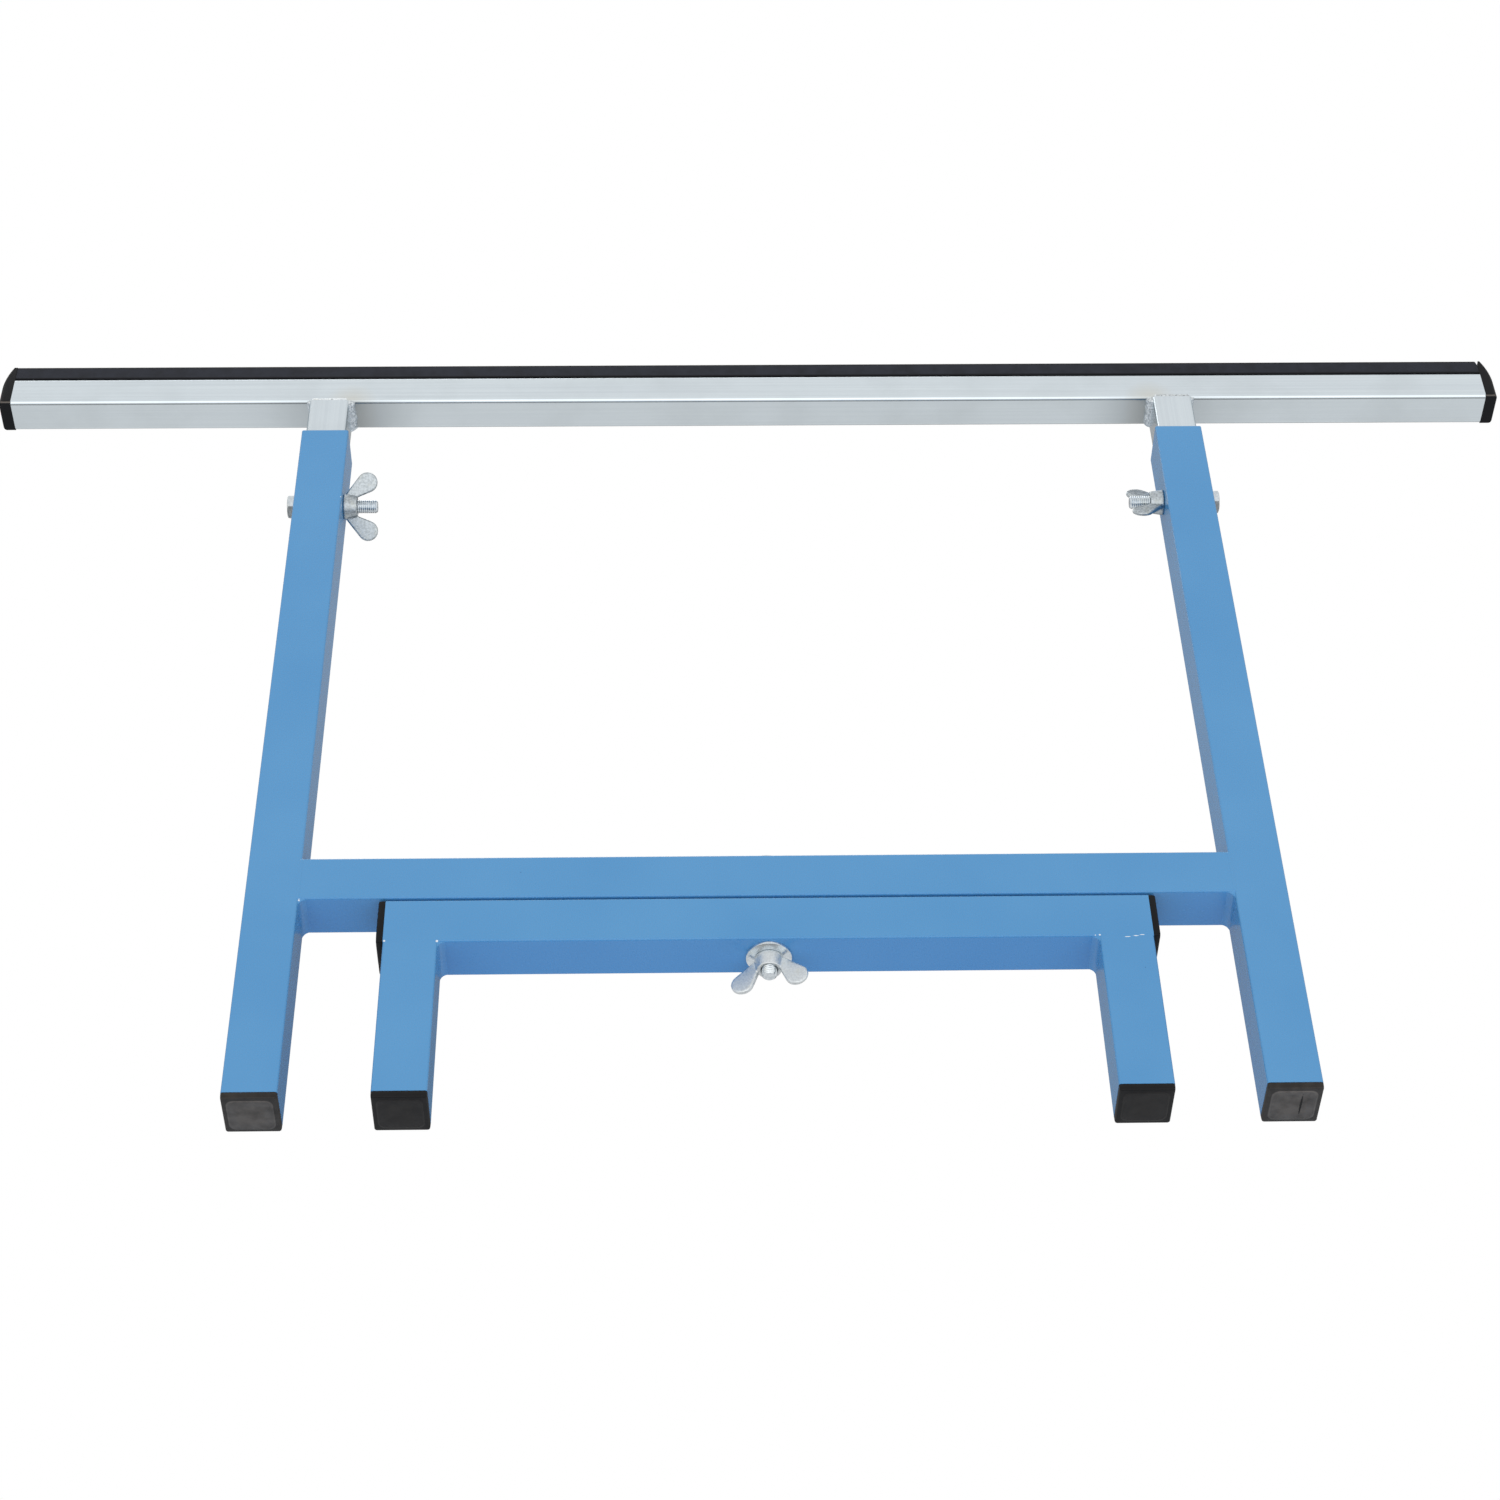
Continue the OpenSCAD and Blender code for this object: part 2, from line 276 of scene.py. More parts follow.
def marked(tree, coords, marks):
    """1 inside any of the marks, 0 outside. A mark is the middle x, y, z of a ball, its radius, and how
    many times its radius it reaches along x and y. Noise adds 0 to 1.3 radii to the distance from the
    middle, about 0.65 of them on average, so the edge lies about one radius out, where the sum is 1.4 to
    1.7 radii."""
    grit = noise(tree, coords, GRIT, 2.0)
    inside = 0.0
    for x, y, z, radius, wide, deep in marks:
        squeeze = 1 / np.array([wide, deep, 1.0])
        shift = -np.array([x, y, z]) * MM * squeeze
        near = add(tree, "Mapping", {"Vector": coords, "Location": shift, "Scale": squeeze}).outputs[0]
        far = add(tree, "VectorMath", {0: near}, operation="LENGTH").outputs["Value"]
        ragged = calc(tree, "MULTIPLY_ADD", grit, 1.3 * radius * MM, far)
        ball = spread(tree, ragged, 1.4 * radius * MM, 1.7 * radius * MM, 1.0, 0.0)
        inside = calc(tree, "MAXIMUM", inside, ball)
    return inside


# %% Blue powder coat

# Most marks are painted highlights, glints on the lumps at the beads' ends. The three drawn out along x are
# a scuff on the right foot leg's seam.
GLINTS_AND_SCUFF = [
    (-304.3, -17.5, 161, 1.1, 1, 1), (-247, -17.5, 125.5, 0.8, 1, 1), (-213.2, -17.3, 125.2, 0.8, 1, 1),
    (213, -17.5, 125.6, 0.6, 1.5, 1), (210, -17.5, 125.2, 0.6, 1.3, 1), (-305.5, -17, 555, 0.5, 1, 1),
    (231, -17.5, 123.8, 0.3, 6, 1), (236.5, -17.5, 124.6, 0.4, 5, 1), (240.5, -17.5, 125.4, 0.3, 5, 1),
]
CLOUD = 90
PEEL = 3
SPECKS_APART = 16


def powder_coat():
    """Specks are the middles of Voronoi cells, in the tenth or so of the cells that get one."""
    material, tree, shader, coords = new_material("powder_coated_steel", IOR=1.5)
    cloud = noise(tree, coords, CLOUD, 3.0)
    paint = blend(tree, spread(tree, cloud, *MOST, 0.0, 1.0), linear("#5096CC"), linear("#589CD0"))
    cells = add(tree, "TexVoronoi", {"Vector": coords, "Scale": per_mm(SPECKS_APART)})
    rare = add(tree, "SeparateColor", {0: cells.outputs["Color"]}).outputs[0]
    chosen = spread(tree, rare, 0.88, 0.9, 0.0, 1.0)
    spot = spread(tree, cells.outputs["Distance"], 0.03, 0.05, 1.0, 0.0)
    specked = blend(tree, calc(tree, "MULTIPLY", chosen, spot), paint, linear("#2F6296"))
    # Painted highlights: the pale marks are mostly glints of light, and a few a real scuff.
    colour = blend(tree, marked(tree, coords, GLINTS_AND_SCUFF), specked, linear("#F2F6F8"))
    peel = noise(tree, coords, PEEL, 1.0)
    tree.links.new(colour, shader.inputs["Base Color"])
    tree.links.new(spread(tree, peel, *MOST, 0.22, 0.28), shader.inputs["Roughness"])
    relief(tree, shader, peel, 0.1, 0.08)
    return material


BLUE = powder_coat()

# %% [markdown]
# ### Galvanised steel
# Rail and stubs are rolled from zinc-coated strip, which leaves them bright and smooth. Rolling draws faint
# pale streaks along the tube, and the zinc dulls in soft patches. The streaks need a direction, so the
# material is made twice, for tubes along X and for tubes along Z. The rail's underside beside each stub is
# painted darker, as painted shade for the shade and dark reflections there, most on the inner sides, where
# the beads are thickest. The welds' heat has left a faint straw tint close to the beads there.

# %% Zinc beside the welds, and painted shade under the rail

# How far the painted shade beside each stub reaches, and its share on a stub's outer side.
SHADE_REACH = 70
OUTER_SHADE = 0.4
STRAW_REACH = 20
STRAW_FULL = 3
STRAW_MOST = 0.4
BEAD_FOOT = 2


def painted_stub_shade(tree, coords):
    """Painted shade: (1 - d / reach) squared, with d the way along the underside from a stub's side. It is
    less on the outer side of a stub, and 0 above the underside."""
    x, _, z = add(tree, "SeparateXYZ", {0: coords}).outputs
    out = calc(tree, "ABSOLUTE", x)
    away = calc(tree, "SUBTRACT", out, UPRIGHT_X * MM)
    far = calc(tree, "ABSOLUTE", away)
    near = spread(tree, far, STOCK / 2 * MM, (STOCK / 2 + SHADE_REACH) * MM, 1.0, 0.0)
    eased = calc(tree, "POWER", near, 2.0)
    inner = spread(tree, away, -MM, MM, 1.0, OUTER_SHADE)
    under = spread(tree, z, (RAIL_Z + 0.3) * MM, (RAIL_Z + 2) * MM, 1.0, 0.0)
    return calc(tree, "MULTIPLY", calc(tree, "MULTIPLY", eased, inner), under)


def straw(tree, coords):
    """Most near the inner foot of each bead on the rail, down to 0 a reach away in x and z."""
    x, _, z = add(tree, "SeparateXYZ", {0: coords}).outputs
    out = calc(tree, "ABSOLUTE", x)
    flat = add(tree, "CombineXYZ", {0: out, 2: z}).outputs[0]
    foot = ((UPRIGHT_X - STOCK / 2 - BEAD_FOOT) * MM, 0, RAIL_Z * MM)
    far = add(tree, "VectorMath", {0: flat, 1: foot}, operation="DISTANCE").outputs["Value"]
    return spread(tree, far, STRAW_FULL * MM, STRAW_REACH * MM, STRAW_MOST, 0.0)


# %% Galvanised tube

ALONG_X, ALONG_Z = 0, 2
STREAK_THIN = 2.2
STREAK_LONG = 260
PATCH = 60


def galvanised(name, along, lines):
    """Streaks are noise on coordinates that are stretched along the tube: long one way, thin the others.
    lines is how strongly they stand up from the surface. Only the rail, which lies along X, has welds."""
    material, tree, shader, coords = new_material(name, Metallic=1.0)
    squeeze = np.full(3, per_mm(STREAK_THIN))
    squeeze[along] = per_mm(STREAK_LONG)
    stretched = add(tree, "Mapping", {"Vector": coords, "Scale": squeeze}).outputs[0]
    streak = add(tree, "TexNoise", {"Vector": stretched, "Scale": 1.0, "Detail": 4.0}).outputs["Fac"]
    zinc = blend(tree, spread(tree, streak, *MOST, 0.0, 1.0), linear("#D6DFE5"), linear("#DEE7EC"))
    dull = spread(tree, noise(tree, coords, PATCH, 4.0), 0.45, 0.75, 0.0, 0.5)
    colour = blend(tree, dull, zinc, linear("#C6CED2"))
    if along == ALONG_X:
        tinted = blend(tree, straw(tree, coords), colour, linear("#D3CCB8"))
        # Painted shade: the rail's underside beside the stubs is darkened for the shade and dark reflections
        # there.
        colour = blend(tree, painted_stub_shade(tree, coords), tinted, linear("#959CA0"))
    tree.links.new(colour, shader.inputs["Base Color"])
    tree.links.new(spread(tree, streak, *MOST, 0.2, 0.25), shader.inputs["Roughness"])
    relief(tree, shader, streak, 0.05, lines)
    return material


ZINC_TUBE_X = galvanised("galvanised_steel_lengthwise", ALONG_X, 0.02)
ZINC_TUBE_Z = galvanised("galvanised_steel_upright", ALONG_Z, 0.006)

# %% [markdown]
# ### Zinc-plated fasteners
# Bolts and washers are bright zinc over smooth steel, bluish with a few yellow stains. Wing nuts are cast,
# so the same plating lies on a grainy skin that breaks up their reflections. The two nuts of the height
# bolts are mottled more coarsely, and are painted darker than the pivot's as painted shade, for the darker
# surroundings that their wings reflect. Beads of weld on the rail are the same zinc, sprayed on over the
# ripples, and duller.

# %% Plated steel, cast and smooth

STAIN = 7


def zinc_plated(name, pale, dark, grain_mm, depth_mm, rough, metal=1.0):
    """The grain carries the plating from dark to pale, and its roughness a little to both sides of rough."""
    material, tree, shader, coords = new_material(name, Metallic=metal)
    grain = noise(tree, coords, grain_mm, 3.0)
    stain = noise(tree, coords, STAIN, 2.0)
    plating = blend(tree, spread(tree, grain, 0.35, 0.65, 0.0, 1.0), linear(dark), linear(pale))
    colour = blend(tree, spread(tree, stain, 0.55, 0.75, 0.0, 0.2), plating, linear("#CFCBB0"))
    tree.links.new(colour, shader.inputs["Base Color"])
    tree.links.new(spread(tree, grain, *MOST, rough - 0.06, rough + 0.08), shader.inputs["Roughness"])
    relief(tree, shader, grain, depth_mm, 0.5)
    return material


BRIGHT_ZINC = zinc_plated("zinc_plated_steel", "#DFE6EB", "#C8D0D6", 2.0, 0.02, 0.22)
CAST_ZINC = zinc_plated("zinc_plated_cast_iron", "#E2E7E9", "#CFD4D7", 1.1, 0.08, 0.46)
# Painted shade: the height nuts' plating is darker, standing in for the darker reflections on their wings.
SHADED_CAST_ZINC = zinc_plated("zinc_plated_cast_iron_shaded", "#C8CFD3", "#A3AAAE", 1.6, 0.1, 0.42)
WELD_ZINC = zinc_plated("zinc_sprayed_weld", "#EAEFF1", "#A4ABAF", 1.6, 0.2, 0.32, metal=0.5)

# %% [markdown]
# ### Black polyethylene and rubber
# Plugs and end caps are moulded polyethylene: nearly black, with a fine dull grain. Where a plug stands on
# the ground its skin is scuffed to a dusty grey. How much is stored on the mesh as an attribute, and noise
# breaks the scuff up. The same attribute carries a painted highlight: a paler grey along the end caps' lower
# creases, for the light on their glossy edges. A straight cut in the right leg's plug stays black. The strip
# on the rail is extruded rubber, and its flat sides have a thin blue-grey bloom.

# %% Moulded and extruded black

CUTS = [(327.2, -1.2, 0, 0.7, 1, 15)]
BREAKUP_MM = 9
WORN_AND_SHEEN_ROUGH = 0.8


def black_moulding(name, base, dust_and_sheen, grain_mm, rough):
    """The mesh's attribute, broken up by noise and left out in the cuts, turns the base grey and rougher:
    scuffing on the plugs, bloom on the strip, and a painted highlight along the end caps' lower creases.
    """
    material, tree, shader, coords = new_material(name, Specular_IOR_Level=0.14)
    grain = noise(tree, coords, grain_mm, 2.0)
    breakup = noise(tree, coords, BREAKUP_MM, 6.0)
    wear_and_sheen_level = add(tree, "Attribute", attribute_name="wear_and_sheen").outputs["Fac"]
    dust_and_sheen_share = calc(tree, "MULTIPLY", wear_and_sheen_level, spread(tree, breakup, 0.25, 0.6, 0.45, 1.0))
    whole = spread(tree, marked(tree, coords, CUTS), 0.0, 1.0, 1.0, 0.0)
    amount = calc(tree, "MULTIPLY", dust_and_sheen_share, whole)
    colour = blend(tree, amount, linear(base), linear(dust_and_sheen))
    tree.links.new(colour, shader.inputs["Base Color"])
    tree.links.new(spread(tree, amount, 0.0, 1.0, rough, WORN_AND_SHEEN_ROUGH), shader.inputs["Roughness"])
    relief(tree, shader, grain, 0.05, 0.4)
    return material


BLACK_PLASTIC = black_moulding("black_polyethylene", "#111214", "#7A7168", 1.2, 0.42)
BLACK_RUBBER = black_moulding("black_rubber", "#121316", "#3B3E48", 2.5, 0.5)

# %% [markdown]
# ## The tubes
# The tubes' CAD meshes have their round edges, bores and slots, so they stay as they are and only
# change material.

# %% Dress the CAD tubes

TUBE_MATERIALS = {
    "upright_left": BLUE, "upright_right": BLUE, "crossbar": BLUE,
    "foot_bar": BLUE, "foot_leg_left": BLUE, "foot_leg_right": BLUE,
    "rail": ZINC_TUBE_X, "stub_left": ZINC_TUBE_Z, "stub_right": ZINC_TUBE_Z,
}
for node, material in TUBE_MATERIALS.items():
    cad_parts[node].material_slots[0].material = material
print("dressed", len(TUBE_MATERIALS), "tubes")

# %% [markdown]
# ## Weld beads
# Every joint in the frame is one tube's end against another tube's side, and a bead runs round that
# end. On two sides the tubes meet in a corner, and the bead is a fillet. On the other two their faces
# are flush, and the bead only fills the groove beside the other tube's round edge. So one closed
# section is carried round the tube's outline, and a weight turns it from one form into the other.

# %% Outline of a tube's end


def rounded_square(half, radius, steps=6):
    """Four quarter circles about the corners' centres, counter-clockwise, and their outward normals."""
    turn = np.radians(np.arange(4)[:, None] * 90 + np.linspace(0, 90, steps + 1))
    centres = (half - radius) * np.array([(1, 1), (-1, 1), (-1, -1), (1, -1)])
    normals = np.stack([np.cos(turn), np.sin(turn)], -1)
    return (centres[:, None] + radius * normals).reshape(-1, 2), normals.reshape(-1, 2)


def even_outline(side, radius, step):
    """A rounded square's points and outward normals at even steps, and how far along each step is."""
    points, normals = rounded_square(side / 2, radius)
    points = np.vstack([points, points[:1]])
    normals = np.vstack([normals, normals[:1]])
    run = np.concatenate([[0], np.cumsum(np.linalg.norm(np.diff(points, axis=0), axis=1))])
    along = np.linspace(0, run[-1], int(run[-1] / step), endpoint=False)
    pick = np.stack([np.interp(along, run, column) for column in np.hstack([points, normals]).T], -1)
    return pick[:, :2], pick[:, 2:] / np.linalg.norm(pick[:, 2:], axis=1, keepdims=True), along


def smooth_step(value, low, high):
    """0 up to low and 1 from high on, with 3 t^2 - 2 t^3 between them."""
    t = np.clip((value - low) / (high - low), 0, 1)
    return t * t * (3 - 2 * t)


# %% Bead round a tube's end

BEAD_STEP = 0.45
BEAD_COLS = 13
BEAD_CORE = 1.2
SUNK = 0.25
PAST_EDGE = 0.8
LEAST_LEG = 1.6
RIPPLE_PITCH = 2.8


def weld_ring(side, radius, legs, bulge, crown, phase, back=0, ripple=0.0):
    """Bead round the top of a square post that meets another tube in the plane z = 0.
    Across it, u runs from the post (0) to the other tube (1): straight from A to B, pushed out by
    sin(pi u) times the bulge, which is a share of the leg, and the ripples. A lies a leg down the post. B
    lies a leg out on the other tube where there is a fillet, and rises with that tube's round edge. Where
    the faces are flush it lies a corner radius up past the plane, and as far back as the tube's face, and
    the bulge is the crown. legs has a leg for each fillet, on the post's side towards -x (-1) or x (1)."""
    outline, normals, along = even_outline(side, radius, BEAD_STEP)
    zero = np.zeros((len(along), 1))
    centre = np.hstack([outline, zero])
    out = np.hstack([normals, zero])
    up = np.array([0.0, 0.0, 1.0])
    ahead = np.sign(normals[:, :1]) * np.array([1.0, 0.0, 0.0])
    fillet = sum(smooth_step(normals[:, :1] * face, 0.75, 0.97) for face in legs)
    leg = sum(smooth_step(normals[:, :1] * face, 0.3, 0.97) * length for face, length in legs.items())
    lumps = 0.1 * np.sin(along / 2.7) + 0.1 * np.sin(along / 1.1)
    uneven = 1 + 0.04 * np.sin(along / 4.1 + phase) + ripple * lumps
    leg = np.maximum(leg, LEAST_LEG) * uneven[:, None]
    over = np.clip(np.abs(outline[:, 1:]) - (side / 2 - back - radius), 0, radius)
    rise = radius - np.sqrt(radius ** 2 - over ** 2)
    flush = up * (radius + PAST_EDGE) - out * (SUNK + back)
    first = centre - up * leg - out * SUNK
    second = centre + fillet * (ahead * leg + up * (SUNK + rise)) + (1 - fillet) * flush
    push = fillet * (ahead - up) + (1 - fillet) * out
    push /= np.linalg.norm(push, axis=1, keepdims=True)
    u = np.linspace(0, 1, BEAD_COLS)
    bend = 0.5 * (2 * u - 1) ** 2
    crescents = 0.5 + 0.5 * np.cos(2 * np.pi * (along[:, None] / RIPPLE_PITCH - bend) + phase)
    swell = bulge * leg * fillet + crown * (1 - fillet)
    height = (swell + ripple * (0.3 + 0.7 * fillet) * crescents + SUNK) * np.sin(np.pi * u)
    straight = first[:, None] * (1 - u)[:, None] + second[:, None] * u[:, None]
    rows = straight + push[:, None] * height[..., None]
    core = (centre - BEAD_CORE * out)[:, None]
    return np.concatenate([rows, core], axis=1)


def add_beads(name, rings, material, body, slot, node):
    mesh = grid_mesh(name, [(ring, True, True) for ring in rings])
    add_piece(name, mesh, material, body, slot, node, sharp=70)


# %% [markdown]
# The blue beads are smooth under their paint: hollow fillets in the corners, with no ripples. On the
# flush faces the frame's beads stand slightly proud, and the foot's are level with the tubes. Above the
# crossbar there is only a narrow seam.

# %% Beads of the frame and the foot

LEG = 5.5
HOLLOW = -0.29
PROUD = 0.3
frame_rings = [
    place(weld_ring(TUBE, TUBE_R, {side: LEG, -side: LEAST_LEG}, HOLLOW, PROUD, side),
          (side * (FRAME_W / 2 - TUBE), 0, CROSSBAR_Z), [(0, 0, -side), (0, 1, 0), (side, 0, 0)])
    for side in (LEFT, RIGHT)
]
add_beads("frame_weld_beads", frame_rings, BLUE, "main_frame", "blue_powder_coat", "frame_welds")
foot_rings = [
    place(weld_ring(TUBE, TUBE_R, {-side: LEG}, HOLLOW, 0.0, side + 0.5),
          (side * FOOT_LEG_X, 0, BAR_Z), UPRIGHT)
    for side in (LEFT, RIGHT)
]
add_beads("foot_weld_beads", foot_rings, BLUE, "cross_foot", "blue_powder_coat", "foot_welds")

# %% [markdown]
# The rail's beads are bare: lumpier, rounder, and thicker on the inner sides of the stubs.

# %% Beads of the top

INNER_LEG = 4.6
OUTER_LEG = 2.2
ROUNDED = 0.07
NEARLY_LEVEL = 0.01
RIPPLE = 0.4
rail_back = (STOCK - RAIL_SIDE) / 2
rail_rings = [
    place(weld_ring(STOCK, STOCK_R, {-side: INNER_LEG, side: OUTER_LEG}, ROUNDED, NEARLY_LEVEL, side + 2,
                    back=rail_back, ripple=RIPPLE),
          (side * UPRIGHT_X, 0, RAIL_Z), UPRIGHT)
    for side in (LEFT, RIGHT)
]
add_beads("rail_weld_beads", rail_rings, WELD_ZINC, "top", "galvanised_steel", "rail_welds")

# %% [markdown]
# ## Plugs
# A plug is a peg in the tube with a rim as wide as the tube. Mould and wear give the rim its form: a
# small radius at the tube, rounded lower edges, and underneath a pad with rounder corners that stands on
# the ground. It is a stack of rounded squares.

# %% Outline of a plug

PEG_LONG = 18
PEG_IN = 2.3
PAD_R = 5
POINT = 0.01


def loft(levels):
    """Rounded squares of (half side, corner radius, z), one over the other."""
    rings = [np.pad(rounded_square(half, radius)[0], ((0, 0), (0, 1)), constant_values=z)
             for half, radius, z in levels]
    return np.stack(rings)


def plug_levels(half, corner, rim):
    """Half side, corner radius and height of a plug's outline, from its peg's end to its pad's middle."""
    peg = half - PEG_IN
    return [
        (POINT, POINT / 2, PEG_LONG), (peg - 1, corner, PEG_LONG), (peg, corner, PEG_LONG - 1),
        (peg, corner, 0), (half - 0.5, corner, 0), (half - 0.15, corner, -0.12),
        (half - 0.05, corner, -0.45), (half - 0.1, corner, -rim / 2), (half - 0.25, corner, 1.2 - rim),
        (half - 0.5, corner, 0.75 - rim), (half - 1.0, corner, 0.5 - rim), (half - 1.6, corner, 0.42 - rim),
        (half - 2.8, PAD_R, 0.42 - rim), (half - 3.2, PAD_R, 0.3 - rim), (half - 3.6, PAD_R, 0.04 - rim),
        (half - 4.2, PAD_R, -rim), (half / 2, 3, -rim), (POINT, POINT / 2, -rim),
    ]


# %% Six plugs

WORN, CLEAN, UNTOUCHED = 0.75, 0.12, 0.0


def add_plug(name, origin, axes, body, wear_and_sheen):
    """The plug's wear, from 0 to 1, is how grey the pad underneath is. Its edge is greyer, and the rim less
    grey.
    """
    levels = plug_levels(TUBE / 2, TUBE_R, PLUG_RIM)
    grid = loft(levels)
    above = np.array([z for _, _, z in levels]) + PLUG_RIM
    pad, edge, step, rim = above <= 0.02, above <= 0.35, above <= 0.8, above < PLUG_RIM
    share = np.select([pad, edge, step, rim], [1, 1.2, 0.4, 0.25], 0)
    wear_map = np.repeat(wear_and_sheen * share, grid.shape[1])
    mesh = grid_mesh(name, [(place(grid, origin, axes), False, True)], wear_map)
    add_piece(name, mesh, BLACK_PLASTIC, body, "black_plastic", name)


for label, side in SIDES.items():
    bar_end = (side * FOOT_W / 2, 0, BAR_Z + TUBE / 2)
    add_plug("leg_plug_" + label, (side * UPRIGHT_X, 0, PLUG_RIM), UPRIGHT, "main_frame", WORN)
    add_plug("foot_plug_" + label, (side * FOOT_LEG_X, 0, PLUG_RIM), UPRIGHT, "cross_foot", CLEAN)
    add_plug("bar_plug_" + label, bar_end, sideways(side), "cross_foot", UNTOUCHED)

# %% [markdown]
# ## Strip and end caps
# The strip is an extrusion: one outline pulled along the rail, round on top and drawn in a little where
# it meets the rail. It was cut short at a slant on the right, which leaves a notch beside the cap. The
# caps are mouldings: an outline that curves in towards the top, pulled across the rail. Both get small
# bevels at their ends from an outline that is drawn in a little there.

# %% Pull an outline


def arc(centre, radius, start, stop, steps=8):
    """Points of a circle's arc, between two angles in degrees."""
    turn = np.radians(np.linspace(start, stop, steps))
    return np.array(centre) + radius * np.stack([np.cos(turn), np.sin(turn)], -1)


def drawn_in(outline, bevel):
    """A closed counter-clockwise outline, moved inwards along the mean normal of each point's two edges."""
    edge = np.roll(outline, -1, axis=0) - outline
    normal = np.stack([edge[:, 1], -edge[:, 0]], -1)
    normal /= np.linalg.norm(normal, axis=1, keepdims=True)
    mean = normal + np.roll(normal, 1, axis=0)
    mean /= np.maximum((mean * normal).sum(1, keepdims=True), 0.5)
    return outline - bevel * mean


def pulled(outline, low, high, bevel):
    """A closed outline pulled from low to high along z, with bevelled ends that close at its middle."""
    middle = np.tile(outline.mean(0), (len(outline), 1))
    inner = drawn_in(outline, bevel)
    softer = drawn_in(outline, 0.3 * bevel)
    rows = [(middle, low), (inner, low), (softer, low + 0.3 * bevel), (outline, low + bevel),
            (outline, high - bevel), (softer, high - 0.3 * bevel), (inner, high), (middle, high)]
    return np.stack([np.pad(row, ((0, 0), (0, 1)), constant_values=z) for row, z in rows])


# %% Strip on the rail

STRIP_R = 2.0
STRIP_FOOT_R = 0.6
STRIP_BEVEL = 0.4
NOTCH_W = 1.4
NOTCH_H = 6.0
BLOOM = 0.55


def strip_outline(half, height):
    """Right side from its round foot to its round upper edge, then the same mirrored, and a bloom that is 1
    on the flat sides and the flat top and 0 round the edges."""
    foot = arc((half - STRIP_FOOT_R, STRIP_FOOT_R), STRIP_FOOT_R, -90, 0)
    flat = [(half, 1.8), (half, height - NOTCH_H), (half, height - STRIP_R - 1)]
    edge = arc((half - STRIP_R, height - STRIP_R), STRIP_R, 0, 90)
    right = np.vstack([foot, flat, edge, [(half - STRIP_R - 1, height)]])
    bloom = np.repeat([0, 1, 0, 1], [len(foot), len(flat), len(edge), 1])
    return np.vstack([right, (right * (-1, 1))[::-1]]), np.concatenate([bloom, bloom[::-1]])


strip_low, strip_high = box_mm("top_strip")
strip_h = strip_high[2] - strip_low[2]
outline, bloom = strip_outline(RAIL_SIDE / 2, strip_h)
strip = pulled(outline, strip_low[0], strip_high[0], STRIP_BEVEL)
slant = NOTCH_W * np.clip((strip[..., 1] - strip_h + NOTCH_H) / NOTCH_H, 0, 1)
strip[..., 2] -= slant * (strip[..., 2] > 0)
strip = place(strip, (0, 0, strip_low[2]), [(0, 1, 0), (0, 0, 1), (1, 0, 0)])
mesh = grid_mesh("top_strip", [(strip, False, True)], BLOOM * np.tile(bloom, len(strip)))
add_piece("top_strip", mesh, BLACK_RUBBER, "top", "black_strip", "top_strip", sharp=30)

# %% Shape of an end cap

CAP_STRAIGHT = 18.0
CAP_CROWN = 3.0
CAP_ROUND = 3.0
CAP_EDGE = 1.2


def cap_outline(thick, height, chamfer):
    """Foot with a small radius, straight outer side, and one arc over to the thin top, counter-clockwise.
    An arc that leaves a vertical side and moves in by d over a height h has the radius (d^2 + h^2) / 2d.
    The inner upper corner is cut off by the chamfer, down to the bottom of the strip's notch."""
    inward = thick - CAP_CROWN
    rise = height - CAP_STRAIGHT
    big = (inward ** 2 + rise ** 2) / (2 * inward)
    sweep = np.degrees(np.arcsin(rise / big))
    return np.vstack([[(0, 0)], arc((thick - 1, 1), 1, -90, 0),
                      arc((thick - big, CAP_STRAIGHT), big, 0, sweep, 20),
                      [(chamfer, height), (0, height - NOTCH_H)]])


def cap_grid(outline, thick, half):
    """The outline at steps across the rail. Near both ends it draws in by r (1 - sqrt(1 - e^2)), with e the
    way into the last r, which rounds the edges: by a big r towards the rail, by a small one in height."""
    end = half - CAP_ROUND * (1 - np.sin(np.linspace(0, np.pi / 2, 14)))
    across = np.concatenate([-end[::-1], end])
    drawn = [r * (1 - np.sqrt(1 - np.clip((np.abs(across) - half + r) / r, 0, 1) ** 2))
             for r in (CAP_ROUND, CAP_EDGE)]
    middle = outline[:, 1].max() / 2
    skin = np.stack([np.column_stack([outline[:, 0] * (1 - dx / thick),
                                      middle + (outline[:, 1] - middle) * (1 - dz / middle),
                                      0 * outline[:, 0] + y])
                     for dx, dz, y in zip(*drawn, across)])
    first = np.broadcast_to(skin[0].mean(0), skin[0].shape)
    last = np.broadcast_to(skin[-1].mean(0), skin[-1].shape)
    return np.concatenate([first[None], skin, last[None]])


# %% [markdown]
# The caps' lower creases carry a painted highlight: a paler grey, painted where the edge's rounding has
# lifted a cap's underside, stands in for the light on the glossy edge, and leaves out the flat ends.

# %% End caps

PLAIN_CHAMFER = 0.1
# Painted highlight along the caps' lower creases: how pale it gets, and the lift over which it comes in.
CREASE_HIGHLIGHT = 0.9
HIGHLIGHT_RISE = CAP_EDGE / 4

